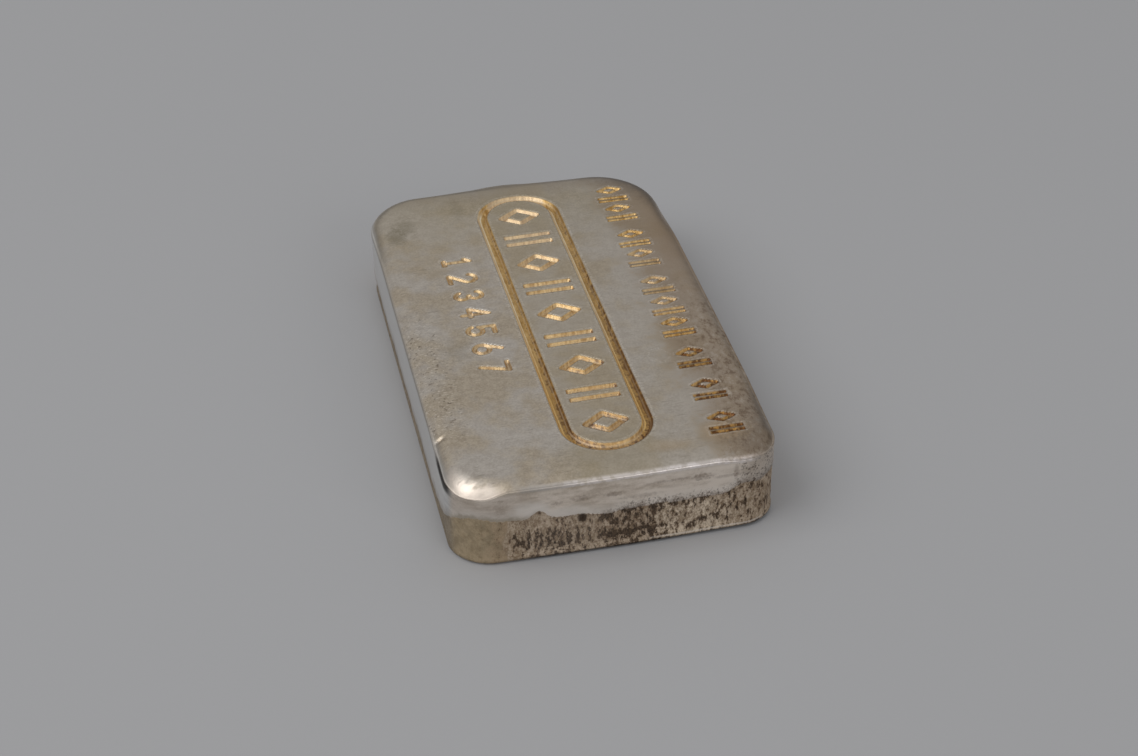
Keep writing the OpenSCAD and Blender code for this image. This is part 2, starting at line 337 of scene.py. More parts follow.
def marks_relief(x, y):
    """Depth, wall foot and lip of the marks at points of the top."""
    across = x * math.cos(marks_turn) + y * math.sin(marks_turn)
    along = y * math.cos(marks_turn) - x * math.sin(marks_turn)
    relief = np.zeros((len(x), 3))

    past = np.maximum(np.abs(along - frame_y) - frame_half_straight, 0.0)
    gap = np.abs(np.hypot(across - frame_x, past) - frame_width / 2)
    near = gap < 2
    strike(relief, near, gap[near], frame_mouth, frame_depth, (frame_mouth - frame_floor) / 2)

    pitch = 2 * frame_half_straight / (motif_count - 1)
    for i in range(motif_count):
        u = frame_y - along - (i - (motif_count - 1) / 2) * pitch
        near = np.abs(u) < 3.2
        gap = motif_gap(i, u[near], (across - frame_x)[near], motif_length, motif_height, motif_stroke)
        strike(relief, near, gap, motif_stroke, motif_depth, motif_slant)

    step = border_length / (sum(border_groups) + border_space * (len(border_groups) - 1))
    place = 0.5
    for count in border_groups:
        for i in range(count):
            u = border_y - along - (place * step - border_length / 2)
            near = np.abs(u) < 1.9
            gap = motif_gap(i, u[near], (across - border_x)[near], small_length, small_height, small_stroke)
            strike(relief, near, gap, small_stroke, small_depth, small_slant)
            place += 1
        place += border_space

    for digit in range(1, 8):
        u = number_y - along - (digit - 4) * number_pitch
        near = np.abs(u) < 2.6
        gap = digit_gap(digit, u[near], (across - number_x)[near])
        strike(relief, near, gap, digit_stroke, digit_depth, digit_slant)
    return relief


# The skin's top is a close grid, closest where the marks are. Its square corners are drawn in onto
# the plan's round ones.


def spaced(stops, steps):
    """Grid lines through the stops, with about this step between each and the next."""
    lines = [np.array([stops[0]])]
    for a, b, step in zip(stops[:-1], stops[1:], steps):
        count = max(1, round((b - a) / step))
        lines.append(a + (b - a) * np.arange(1, count + 1) / count)
    return np.concatenate(lines)


wide, close, row_step = 0.3, 0.17, 0.19
columns = spaced(
    [-plain_w, -12.5, -7.5, -5.7, 6.5, 11.3, 16.3, plain_w],
    [wide, close, wide, close, wide, close, wide],
)
rows = spaced([-plain_l, plain_l], [row_step])
grid_x, grid_y = np.meshgrid(columns, rows)
shape = grid_x.shape

radius = plan_radius(grid_x, grid_y)
side, end = (np.abs(grid_x) - plain_w + radius) / radius, (np.abs(grid_y) - plain_l + radius) / radius
cornered = (side > 0) & (end > 0)


def drawn_in(own, other):
    """How far out a corner's grid point lies once the square corner is drawn in onto the round one."""
    return np.where(cornered, own * np.sqrt(np.clip(1 - other**2 / 2, 0, 1)), own)


plan_x = np.sign(grid_x) * (plain_w - radius + radius * drawn_in(side, end))
plan_y = np.sign(grid_y) * (plain_l - radius + radius * drawn_in(end, side))

inset, normal_x, normal_y, drop = wall_facts(plan_x, plan_y)
arc, _, meet = shoulder(drop)
lip = shoulder_reach - arc * np.cos(meet)
shift = np.where(inset < shoulder_reach, lip * (1 - inset / shoulder_reach), 0.0)
inset = inset + shift
top_x, top_y = bowed(plan_x - normal_x * shift, plan_y - normal_y * shift)
rolled = np.clip(shoulder_reach - inset, 0.0, shoulder_reach)
fall = arc - np.sqrt(arc**2 - rolled**2)

# At the near left corner the shoulder was pressed flat, into a slope that ends in a sharp crease.
flat_from_x, flat_from_y, flat_ease, flat_power = -11.0, -27.0, 4.5, 1.75
full_fall = arc - np.sqrt(arc**2 - (shoulder_reach - lip) ** 2)
pressed = smooth((flat_from_x - top_x) / flat_ease) * smooth((flat_from_y - top_y) / flat_ease)
flat_fall = full_fall * (rolled / (shoulder_reach - lip)) ** flat_power
top_z = bar_height - fall - pressed * (flat_fall - fall)

# The marks are sunk into it, and it swells and dips a little.
lip_height, set_down = 0.045, 0.085
swell_height, swell_span, dent_height, dent_span = 0.04, 9, 0.018, 2.6
swell, dents = Grain(3), Grain(8)
sunk, foot, lip_up = marks_relief(top_x.ravel(), top_y.ravel()).T.reshape(3, *shape)
uneven = swell_height * swell.at(top_x / swell_span + 7, top_y / swell_span + 20)
uneven = uneven + dent_height * dents.at(top_x / dent_span + 9, top_y / dent_span + 30)
top_z = top_z - sunk + lip_height * lip_up * (sunk < 0.01) - set_down + uneven * smooth(inset / 2.0)

# A nick crosses the left edge, near the front.
nick_x, nick_y, nick_depth, nick_wide, nick_long, nick_lean = -18.8, -23.0, 0.3, 0.3, 0.5, (0.93, 0.37)
nick_run = (top_x - nick_x) * nick_lean[0] + (top_y - nick_y) * nick_lean[1]
nick_off = (top_y - nick_y) * nick_lean[0] - (top_x - nick_x) * nick_lean[1]
top_z = top_z - nick_depth * np.exp(-((nick_off / nick_wide) ** 2) - (nick_run / nick_long) ** 2)

# The walls hang from the grid's edge, from station to station anticlockwise from the near left corner.
n_rows, n_columns = shape
index = np.arange(n_rows * n_columns).reshape(shape)
edge = np.concatenate([index[0, :-1], index[:-1, -1], index[-1, :0:-1], index[:0:-1, 0]])
stations = len(edge)
wall_x, wall_y = plan_x.ravel()[edge], plan_y.ravel()[edge]
_, out_x, out_y, drop = wall_facts(wall_x, wall_y)
_, crease_z, meet = shoulder(drop)
travel = np.concatenate([[0.0], np.cumsum(np.hypot(np.diff(wall_x), np.diff(wall_y)))])

# The pressed metal ends in a wavy line round the walls, above the cast blank's rough skin: about
# halfway up at the ends and lower along the sides, most on the left. On the near end it climbs over
# a small fold left of the middle and steps up at both corners.
line_at_ends, line_at_sides, left_lower = 5.7, 4.5, 1.6
ends_from, ends_over, left_later, left_longer = 22.0, 9.0, 3.0, 0.5
fold_height, fold_x, fold_half = 1.2, -9.4, 1.0
left_step, left_step_from, left_step_over = 0.9, -10.0, 7.0
right_step, right_step_from, right_step_over = 1.1, 12.6, 2.0
wave_height, wave_span, ripple_height, ripple_span = 0.25, 5.0, 0.2, 1.3
line_grain, skin_grain, wall_grain = Grain(21), Grain(34), Grain(55)
on_left = smooth(-1.2 * out_x)
on_end = smooth((np.abs(wall_y) - ends_from - left_later * on_left) / (ends_over + left_longer * on_left))
on_near = smooth(-1.6 * out_y - 0.2)
fold = fold_height * np.exp(-(((wall_x - fold_x) / fold_half) ** 2)) * on_near
steps_up = left_step * smooth((left_step_from - wall_x) / left_step_over)
steps_up = steps_up + right_step * smooth((wall_x - right_step_from) / right_step_over)
press_line = on_end * (line_at_ends + fold + steps_up) + (1 - on_end) * (line_at_sides - left_lower * on_left)
press_line = press_line + wave_height * line_grain.at(wall_x / wave_span + 20, wall_y / wave_span + 9)
press_line = press_line + ripple_height * line_grain.at(wall_x / ripple_span + 40, wall_y / ripple_span + 40)

# Dirt holds in the rough skin as a share from 0 to 1: most in the middle of the near end, but for one
# cleaner spot, less towards its right end and none at its left corner. Elsewhere it is patchy.
patchy = 0.5 + 0.5 * wall_grain.at(travel / 7.0, travel * 0 + 2.0)
grime_near = 0.92 - 0.25 * np.exp(-(((wall_x + 3.3) / 1.0) ** 2)) + 0.06 * smooth((wall_x + 3.0) / 1.5)
grime_near = grime_near - 0.28 * smooth((wall_x - 3.5) / 2.0) + 0.06 * smooth((wall_x - 9.0) / 3.0)
grime_near = smooth((wall_x + 14.2) / 2.0) * grime_near
grime_else = 0.35 + 0.5 * patchy - 0.3 * on_left
grime = on_near * grime_near + (1 - on_near) * grime_else
clean_above = 0.35 * on_near * smooth((-2.0 - wall_x) / 3.0)

# The near end's foot edge stands a hair off the table, most towards the right, where it is sharper.
near_lift, right_lift, right_sharper, lift_from, lift_over = 0.1, 0.3, 0.32, 2.0, 12.0
rightward = smooth((wall_x - lift_from) / lift_over) * on_near
lift = near_lift * on_near + right_lift * rightward
edge_radius = foot_radius - right_sharper * rightward

# Each ring of wall has its inset from the wall, its height and its share of the cast skin. A low
# ledge parts the pressed metal from the cast skin, which leans in down to the rounded foot.
ledge, ledge_half, foot_inset, underside_inset = 0.04, 0.25, wall_lean * 0.6, 3.0
rings = []
for k in (0.75, 0.5, 0.25, 0.0):
    a = meet * k
    rings.append((crease_radius * (1 - np.cos(a)), crease_z + crease_radius * np.sin(a), 0.0))
for t in (0.3, 0.6, 0.85):
    rings.append((0.0, crease_z + (press_line + ledge_half - crease_z) * t, 0.0))
rings += [(0.0, press_line + 0.2, 0.0), (ledge / 4, press_line, 0.5), (ledge, press_line - ledge_half, 1.0)]
cast_height = press_line - lift - foot_radius - 0.6
for tenth in range(1, 11):
    t = tenth / 10
    rings.append((ledge + (wall_lean - ledge) * t, press_line - ledge_half - cast_height * t, 1.0))
rings.append((foot_inset, edge_radius + 0.1 + lift, 1.0))
for a in (30, 60, 90):
    a = math.radians(a)
    rings.append((foot_inset + edge_radius * (1 - math.cos(a)), edge_radius * (1 - math.sin(a)) + lift, 1.0))
rings.append((underside_inset, 0.0, 1.0))

# The shares say where each thing that the finish follows is found, point by point.
points = [np.column_stack([top_x.ravel(), top_y.ravel(), top_z.ravel()])]
none = np.zeros(top_x.size)
below_crease = none - 1.0
below_crease[edge] = -crease_radius * np.sin(meet)
over_line = none + 9.0
over_line[edge] = crease_z + crease_radius * np.sin(meet) - press_line
shares = {"cast": [none], "grime": [none], "over": [over_line], "below": [below_crease]}
for name, values in {"inset": inset, "pressed": pressed, "sunk": sunk, "foot": foot, "lip": lip_up}.items():
    shares[name] = [values.ravel()]
streak_depth, pit_depth, wave_depth = 0.07, 0.06, 0.03
for ring_inset, height, cast in rings:
    height = height + 0.0 * travel
    streaky = streak_depth * (1 + skin_grain.at(travel / 0.55, height / 2.4 + 5))
    pitty = pit_depth * (1 + skin_grain.at(travel / 1.3 + 9, height / 1.1 + 17))
    pitted = cast * smooth((height - 0.3) / 0.8) * (0.35 + 0.65 * grime) * (streaky + pitty)
    waves = wave_depth * (1 + wall_grain.at(travel / 3.1, height / 3 + 40))
    waved = (1 - cast) * smooth((crease_z - height) / 1.5) * waves
    ring_inset = ring_inset + pitted + waved
    x, y = bowed(wall_x - out_x * ring_inset, wall_y - out_y * ring_inset)
    points.append(np.column_stack([x, y, height]))
    ring_grime = grime - clean_above * smooth((height - 3.2) / 2.0) - 0.25 * smooth((1.9 - height) / 0.8)
    here = {"cast": cast, "grime": ring_grime, "over": height - press_line, "below": crease_z - height}
    for name, values in shares.items():
        values.append(here.get(name, 0.0) + 0.0 * travel)
points = np.concatenate(points) / 1000.0

quads = np.stack([index[:-1, :-1], index[:-1, 1:], index[1:, 1:], index[1:, :-1]], axis=-1).reshape(-1, 4)
faces = [tuple(q) for q in quads.tolist()]
above = edge
for ring in range(len(rings)):
    below = n_rows * n_columns + ring * stations + np.arange(stations)
    band = np.column_stack([above, below, np.roll(below, -1), np.roll(above, -1)])
    faces += [tuple(q) for q in band.tolist()]
    above = below
faces.append(tuple(above[::-1].tolist()))

skin = bpy.data.meshes.new("bar_skin")
skin.from_pydata(points.tolist(), [], faces)
for name, values in shares.items():
    attribute = skin.attributes.new(name, "FLOAT", "POINT")
    attribute.data.foreach_set("value", np.concatenate(values).astype(np.float32))
skin.validate()
skin.shade_smooth()
silver_bar = bpy.data.objects.new("silver_bar_skin", skin)
bpy.context.scene.collection.objects.link(silver_bar)

# The finish. Places on the bar are read in millimetres, and from the skin's shares.
silver_finish = bpy.data.materials.new("toned_silver")
silver = Finish(silver_finish)
metres = silver.node("ShaderNodeTexCoord", {}, {}, 3)
to_millimetres = {0: metres, 1: (1000.0, 1000.0, 1000.0)}
place = silver.node("ShaderNodeVectorMath", {"operation": "MULTIPLY"}, to_millimetres)
across, along, up = (silver.node("ShaderNodeSeparateXYZ", {}, {0: place}, k) for k in range(3))
cast, grime, over, below, inset, pressed_flat, depth, foot_near, lip_near = (
    silver.node("ShaderNodeAttribute", {"attribute_name": name}, {}, 2) for name in shares
)
faces_right = silver.node("ShaderNodeSeparateXYZ", {}, {0: silver.node("ShaderNodeTexCoord", {}, {}, 1)}, 0)
on_top = silver.eased(up, 9.5, 10.75)

# Silver toned a warm grey, in clouds and fine mottling, with short dull dashes across it.
grey_dull, grey_clean = (0.53, 0.475, 0.415), (0.67, 0.615, 0.55)
warm_dull, warm_clean = (0.465, 0.385, 0.29), (0.63, 0.545, 0.43)
olive_dull, olive_clean = (0.40, 0.345, 0.245), (0.55, 0.475, 0.355)
dash_brown, right_warmth = (0.30, 0.25, 0.20), (0.42, 0.35, 0.25)
clouds = silver.noise(place, 0.13, 4.0, 0.6)
mottle = silver.noise(place, 0.9, 5.0, 0.68)
specks = silver.noise(place, 3.6, 3.0, 0.6)
dashes = silver.noise(place, 3.6, 2.0, 0.55, (0.13, 1.0, 1.0), 0.12)
spotty = silver.eased(mottle * 0.6 + specks * 0.4, 0.32, 0.68)
toning = silver.eased(clouds * 0.9 + mottle * 0.15, 0.42, 0.62)
grey = silver.mix(spotty, grey_dull, grey_clean)
metal = silver.mix(toning, grey, silver.mix(spotty, warm_dull, warm_clean))
olive = silver.eased(along + across * 0.3 + clouds * 14.0, 20.0, 36.0) * 0.5
olive = olive + silver.eased(abs(across) + mottle * 6.0, 12.0, 5.0) * silver.eased(along, -25.0, -29.0) * 0.4
metal = silver.mix(olive, metal, silver.mix(spotty, olive_dull, olive_clean))
metal = silver.mix(silver.eased(dashes, 0.60, 0.78) * 0.5, metal, dash_brown)
metal = silver.mix(silver.eased(across + mottle * 3.0, -5.0, 0.0) * 0.2, metal, right_warmth)


def smudge_at(places, along_axis, roughly):
    """Where soft-edged spots lie: each a place, a size both ways and a share."""
    total = 0.0
    for u, v, wide, high, share in places:
        du, dv = (across - u) * (1.0 / wide), (along_axis - v) * (1.0 / high)
        ragged = du * du + dv * dv + (mottle - 0.5) * 2.0 + (specks - 0.5) * roughly
        total = silver.eased(ragged, 1.5, -0.4) * share + total
    return total


# Faint ring-shaped scratches right of the frame and by the right side.
scratch_bright = (0.86, 0.81, 0.74)
for u, v, size in ((10.2, -12.6, 1.3), (17.6, -19.4, 1.2)):
    du, dv = across - u, along - v
    ringed = du * du + dv * dv * 0.7 + (mottle - 0.5) * 6.0 - size**2
    scratch = silver.eased(abs(ringed), 0.35, 0.08) * silver.eased(specks, 0.42, 0.55)
    metal = silver.mix(scratch * 0.3, metal, scratch_bright)

# Dark smudges near the far left corner, and dark pits and bright flecks along the left edge.
smudge_dark, pit_dark, fleck_bright = (0.22, 0.195, 0.145), (0.16, 0.115, 0.085), (0.90, 0.82, 0.72)
top_smudges = [
    (-16.9, 23.2, 1.6, 2.4, 0.75),
    (-15.3, 25.5, 1.7, 2.4, 0.6),
    (-7.7, 28.6, 1.0, 3.0, 0.4),
    (-13.6, -5.8, 2.2, 2.2, 0.25),
]
metal = silver.mix(smudge_at(top_smudges, along, 0.4) * 0.85, metal, smudge_dark)
edge_strip = silver.eased(across, -13.5, -17.0) * silver.eased(along, 8.0, -2.8)
edge_strip = edge_strip * silver.eased(along, -27.5, -20.6)
holes = silver.eased(silver.noise(place, 2.8, 3.0, 0.6, (0.7, 1.0, 1.0)), 0.59, 0.66) * edge_strip
flecks = silver.eased(silver.noise(place, 3.3, 2.0, 0.5, (0.6, 1.3, 1.0), 0.5), 0.60, 0.66) * edge_strip
metal = silver.mix(holes * 0.7, metal, pit_dark)
metal = silver.mix(flecks * 0.6, metal, fleck_bright)

# The walls' pressed band: cleaner, with brown smears and a bright rim above the cast skin. Along
# the left side it is plainer grey, tinted blue as a painted reflection of the table.
band_dull, band_clean = (0.64, 0.54, 0.435), (0.98, 0.875, 0.765)
left_reflection_dull, left_reflection_clean, left_brown = (0.64, 0.655, 0.67), (0.80, 0.81, 0.81), (0.40, 0.34, 0.27)
rim_bright, rim_olive, haze_brown = (1.0, 0.93, 0.85), (0.43, 0.36, 0.245), (0.27, 0.20, 0.15)
left_shade = (0.52, 0.455, 0.40)
on_ends = silver.eased(abs(along), 26.0, 31.0)
near_end = silver.eased(along, -30.4, -32.4)
right_half = silver.eased(across, -3.0, 4.0)
rim = silver.eased(over, 1.9, 0.2) * near_end
smears = silver.noise(place, 0.6, 4.0, 0.6, (0.5, 0.5, 1.8))
band_tone = silver.eased(smears * 0.8 + specks * 0.2 + right_half * 0.09, 0.33, 0.66) * on_ends
band_tone = band_tone + (1.0 - on_ends) * 0.7
wall_metal = silver.mix(band_tone, band_dull, band_clean)
left_side = silver.eased(across, -18.6, -19.4) * (1.0 - near_end)
# Along the left side the band takes a blue-grey painted reflection of the table.
wall_metal = silver.mix(left_side * 0.8, wall_metal, silver.mix(band_tone, left_reflection_dull, left_reflection_clean))
left_haze = silver.eased(over + (mottle - 0.5) * 1.5, 1.7, 0.0) * left_side
wall_metal = silver.mix(left_haze * 0.6, wall_metal, left_brown)
wall_metal = silver.mix(rim * (0.8 - right_half * 0.2), wall_metal, rim_bright)
soft_foot = silver.eased(over + (mottle - 0.5) * 1.5, 0.9, 0.1) * silver.eased(across, -9.0, -13.0)
wall_metal = silver.mix(soft_foot * near_end * 0.75, wall_metal, rim_olive)
haze = silver.eased(over + (mottle - 0.5) * 3.0 + (specks - 0.5) * 2.0, 1.0, -0.3) * near_end
haze = haze * silver.eased(across, -4.0, 0.0)
wall_metal = silver.mix(haze * 0.65, wall_metal, haze_brown)
wall_metal = silver.mix(silver.eased(across, -9.0, -14.0) * near_end * 0.3, wall_metal, left_shade)

# Smudges lie on the band, brown but for a bright lobe above the small fold, and specks of dirt at
# its right end.
band_brown, lobe_bright = (0.24, 0.17, 0.125), (1.0, 0.94, 0.87)
right_brown, right_black = (0.42, 0.35, 0.285), (0.14, 0.105, 0.08)
band_smudges = [
    (-4.5, 8.2, 1.3, 0.4, 0.5),
    (-0.8, 8.1, 1.2, 0.35, 0.45),
    (-7.4, 7.9, 0.7, 0.3, 0.4),
    (9.9, 8.6, 1.4, 0.5, 0.55),
    (5.9, 8.8, 3.4, 0.2, 0.4),
    (13.0, 8.2, 2.2, 0.25, 0.35),
    (13.9, 8.6, 0.35, 1.2, 0.45),
    (-14.0, 8.3, 0.8, 1.2, 0.2),
    (2.8, 7.3, 2.5, 0.3, 0.3),
]
wall_metal = silver.mix(smudge_at(band_smudges, up, 2.0) * near_end, wall_metal, band_brown)
lobe = smudge_at([(-10.6, 7.7, 2.4, 1.1, 0.7), (-6.4, 6.6, 2.0, 0.8, 0.4)], up, 0.4)
wall_metal = silver.mix(lobe * near_end, wall_metal, lobe_bright)
right_dirt = silver.eased(across + mottle * 4.0, 15.5, 17.5) * near_end
wall_metal = silver.mix(right_dirt * 0.5, wall_metal, right_brown)
right_specks = silver.eased(specks * 0.7 + mottle * 0.4, 0.56, 0.64) * right_dirt
wall_metal = silver.mix(right_specks * 0.7, wall_metal, right_black)
metal = silver.mix(on_top, wall_metal, metal)

# The flat that was pressed into the near left corner is streaked like a fan. Its lower part is
# polished smoother by handling and carries a pale painted highlight.
streak_brown, painted_highlight_tone = (0.33, 0.285, 0.23), (0.75, 0.66, 0.575)
fan_axes = {0: (across + along * 0.25) * 0.25, 1: along - across * 0.25, 2: up * 0.8}
fan = silver.noise(silver.node("ShaderNodeCombineXYZ", {}, fan_axes), 1.5, 3.0, 0.6)
polish_and_highlight = pressed_flat * silver.eased(inset + (fan - 0.5) * 2.2, 1.6, 0.9) * silver.eased(across, -12.5, -15.0)
metal = silver.mix(pressed_flat * silver.eased(fan, 0.50, 0.68) * 0.3, metal, streak_brown)
# A pale painted highlight on the flat's lower part.
metal = silver.mix(polish_and_highlight * 0.85, metal, painted_highlight_tone)

# The crease carries a painted highlight in beads along the near end. Beside the flat it is painted
# duller, as shade; along the left side it is painted darker, as shade; along the right side it is
# dark brown, partly tarnish and partly painted shade; and where it passes the flat on the left it
# carries a painted dark line of shade.
crease_highlight_pale, crease_shade_dull, left_crease_shade = (1.0, 0.925, 0.89), (0.46, 0.43, 0.40), (0.40, 0.37, 0.33)
crease_shadow_black, right_crease_tarnish_and_shade = (0.035, 0.03, 0.027), (0.22, 0.175, 0.135)
crease_strip = silver.eased(inset, 0.62, 0.2) * silver.eased(below, 0.32, 0.05)
# Painted highlight along the near end's crease, in beads.
painted_crease_highlight = crease_strip * near_end * silver.eased(across, 17.4, 15.6) * silver.eased(across, -11.0, -4.0)
highlight_beads = silver.eased(silver.noise(place, 1.3, 2.0, 0.5), 0.40, 0.58)
metal = silver.mix(painted_crease_highlight * (0.5 + 0.5 * highlight_beads), metal, crease_highlight_pale)
# Painted shade that dulls the crease beside the flat.
shaded_crease_run = crease_strip * near_end * silver.eased(across, -12.5, -11.0) * silver.eased(across, -1.0, -8.0)
metal = silver.mix(shaded_crease_run * 0.6, metal, crease_shade_dull)
# Painted shade that darkens the crease along the left side.
shaded_left_run = silver.eased(below, -0.75, -0.15) * silver.eased(below, 0.4, 0.1) * left_side
metal = silver.mix(shaded_left_run * 0.6, metal, left_crease_shade)
# A painted dark line of shade on the crease where it passes the flat.
crease_shadow_run = silver.eased(across, -17.6, -18.6) * silver.eased(along, -23.4, -26.4)
crease_shadow_run = crease_shadow_run * silver.eased(along, -32.0, -30.5)
crease_shadow_run = crease_shadow_run * silver.eased(below, -0.85, -0.35) * silver.eased(below, 1.2, 0.4)
metal = silver.mix(crease_shadow_run * 0.9, metal, crease_shadow_black)
# Dark brown on the crease along the right side: partly tarnish, partly painted shade.
right_run = silver.eased(across, 18.4, 19.2) * silver.eased(below, -0.7, -0.2) * silver.eased(below, 1.0, 0.2)
metal = silver.mix(right_run * (1.0 - near_end) * 0.8, metal, right_crease_tarnish_and_shade)

# The top is browner along the right side and the far end, darkest in the right corners, and
# stained on the right.
edge_brown, far_grey, golden_brown = (0.36, 0.255, 0.165), (0.38, 0.38, 0.385), (0.66, 0.475, 0.29)
stain_brown, stain_bare = (0.17, 0.105, 0.06), (0.74, 0.68, 0.60)
near_corner_brown, far_corner_brown = (0.18, 0.14, 0.105), (0.17, 0.155, 0.14)
edge_tone = silver.eased(across + clouds * 8.0 + mottle * 6.0 + specks * 5.0, 19.0, 24.5)
edge_tone = edge_tone + silver.eased(along + clouds * 6.0, 31.0, 37.0) * 0.6
edge_tone = edge_tone + silver.eased(across, 15.5, 18.5) * silver.eased(along, 4.0, 12.0) * 0.3
metal = silver.mix(edge_tone * on_top * 0.62, metal, edge_brown)
metal = silver.mix(silver.eased(along, 28.0, 33.5) * on_top * 0.3, metal, far_grey)
golden = smudge_at([(14.0, -29.5, 3.2, 2.2, 0.5), (6.5, -31.0, 3.0, 1.2, 0.25)], along, 0.4)
metal = silver.mix(golden * on_top, metal, golden_brown)
stains = silver.noise(place, 1.1, 6.0, 0.78, (1.0, 0.6, 1.0), 0.5)
stained = silver.eased(across - along * 0.05 + clouds * 6.0, 16.5, 21.0) * silver.eased(along, 8.0, -8.0)
metal = silver.mix(silver.eased(stains, 0.50, 0.60) * stained * on_top * 0.65, metal, stain_brown)
metal = silver.mix(silver.eased(stains, 0.47, 0.37) * stained * on_top * 0.28, metal, stain_bare)
corner_tone = across + abs(along) * 0.4 + clouds * 7.0 + mottle * 5.0 + specks * 4.0
metal = silver.mix(silver.eased(corner_tone, 33.5, 38.0) * on_top * 0.5, metal, near_corner_brown)
far_corner_tone = silver.eased((across + along) * 0.6 + mottle * 4.0, 26.3, 30.3)
metal = silver.mix(far_corner_tone * on_top * 0.45, metal, far_corner_brown)

# Gold and brown tarnish lies in the marks, browner towards the near end and the right. The lips
# beside them carry a painted highlight.
lip_highlight, field_yellow = (0.93, 0.86, 0.76), (0.48, 0.385, 0.23)
gold_deep, gold_clean, gold_brown = (0.47, 0.255, 0.06), (0.93, 0.655, 0.30), (0.50, 0.245, 0.06)
tarnish_dark, floor_pale, motif_pale = (0.15, 0.062, 0.018), (0.80, 0.66, 0.47), (0.88, 0.74, 0.58)
# A painted highlight on the lips beside the marks.
metal = silver.mix(lip_near * silver.eased(specks, 0.42, 0.58) * 0.35, metal, lip_highlight)
yellower = silver.eased(along, 8.0, 22.0) * silver.eased(across, -2.0, -8.0) * 0.25
yellower = yellower + silver.eased(abs(across - 0.4), 5.2, 4.0) * 0.22
metal = silver.mix(yellower * on_top, metal, field_yellow)
in_border = silver.eased(across, 8.0, 10.0)
in_mark = silver.eased(depth, 0.02, 0.14) * (1.0 - 0.3 * silver.eased(across, -5.0, -7.0))
in_mark = in_mark * (1.0 - in_border * silver.eased(abs(along - 5.0), 11.0, 5.0) * 0.4)
deposit = silver.noise(place, 1.3, 4.0, 0.65)
hatch = silver.noise(place, 2.8, 2.0, 0.5, (1.0, 0.12, 0.3), 0.9)
browner = silver.eased(across * 0.45 - along * 0.5, -8.0, 22.0)
# The term for the walls' facing paints walls that face right lighter and walls that face left darker: painted
# light and shade.
tarnish = deposit * 0.8 + hatch * 0.45 - faces_right * 0.32 + browner * 0.24 + depth * 0.16 + foot_near * 0.08
tarnish = silver.eased(tarnish + in_border * silver.eased(along, -2.0, -14.0) * 0.1, 0.885, 1.10)
gold = silver.mix(silver.eased(hatch * 0.6 + deposit * 0.4, 0.34, 0.64), gold_deep, gold_clean)
gold = silver.mix(browner * 0.3, gold, gold_brown)
gold = silver.mix(tarnish, gold, tarnish_dark)

# The frame's groove is olive, with brown runs towards the near end and on the right. Its wall that
# faces right carries a painted highlight, pale at the far end and gold at the near end.
groove_olive, groove_brown, run_brown = (0.36, 0.215, 0.055), (0.17, 0.075, 0.022), (0.19, 0.085, 0.025)
lit_wall_gold, lit_wall_pale = (0.98, 0.68, 0.26), (1.0, 0.89, 0.66)
# Walls that face right get a painted highlight.
lit_wall_paint = silver.eased(faces_right, 0.06, 0.3)
in_groove = silver.eased(abs(abs(across - 0.4) - 4.95), 1.0, 0.75) * silver.eased(abs(along), 27.5, 26.0)
rest_of_groove = in_groove * (1.0 - lit_wall_paint)
right_runs = silver.eased(deposit * 0.6 + specks * 0.4, 0.46, 0.56) * silver.eased(across, 2.0, 4.0)
near_runs = silver.eased(deposit * 0.5 + hatch * 0.5, 0.45, 0.55) * silver.eased(along, -8.0, -20.0)
gold = silver.mix(rest_of_groove * 0.3, gold, groove_olive)
gold = silver.mix(rest_of_groove * right_runs * 0.35, gold, groove_brown)
gold = silver.mix(rest_of_groove * near_runs * 0.45, gold, run_brown)
lit_wall_tone = silver.mix(silver.eased(along, -16.0, 4.0), lit_wall_gold, lit_wall_pale)
gold = silver.mix(lit_wall_paint * in_groove * 0.95, gold, lit_wall_tone)
in_frame = silver.eased(abs(across - 0.4), 4.0, 3.6)
gold = silver.mix(in_frame * (0.12 + 0.33 * silver.eased(along, 4.0, 22.0)), gold, motif_pale)
pale_floor = silver.eased(depth, 0.3, 0.38) * silver.eased(depth, 0.53, 0.48) * (1.0 - foot_near * 0.6)
pale_where = 0.25 + 0.35 * silver.eased(across, -5.0, -7.0) + 0.15 * silver.eased(abs(across), 6.0, 5.0)
gold = silver.mix(pale_floor * pale_where, gold, floor_pale)
metal = silver.mix(in_mark * 0.95, metal, gold)

# The cast skin low on the walls holds brown-black dirt in upright streaks and pits, most in a gully
# near the middle of the near end and in a row of pits right of it.
streaks = silver.noise(place, 2.1, 4.0, 0.66, (1.0, 1.0, 0.45))
clumps = silver.noise(place, 1.1, 4.0, 0.65, (1.0, 1.0, 0.6))
pits = silver.noise(place, 3.8, 4.0, 0.7)
lines = silver.noise(place, 3.6, 3.0, 0.6, (1.0, 1.0, 0.12))
grit = silver.noise(place, 6.0, 3.0, 0.7, (1.0, 1.0, 0.45))
ripples = silver.noise(place, 3.6, 3.0, 0.6, (0.3, 0.3, 1.5))
gully = silver.eased(abs(up - 2.2 + (clumps - 0.5) * 1.2), 0.42, 0.1) * near_end
gully = gully * silver.eased(across, -3.5, -1.5) * silver.eased(across, 7.0, 4.0)
held = streaks * 0.95 + grit * 0.22 + clumps * 0.13 + grime * 0.3 + gully * 0.13
held = held + silver.eased(across, 11.5, 14.5) * (lines - 0.5) * 0.5
low_pits = silver.eased(abs(up - 1.5 - silver.eased(across, 6.0, 12.0) * 0.7), 0.9, 0.3) * near_end
low_pits = low_pits * silver.eased(across, 1.0, 3.0) * silver.eased(across, 13.5, 11.0)
held = held + low_pits * (0.05 + (clumps - 0.5) * 0.5)
under_line = silver.eased(across, 2.5, 5.0) * silver.eased(across, 12.0, 10.0)
held = held + silver.eased(over, -1.2, -0.3) * under_line * 0.07
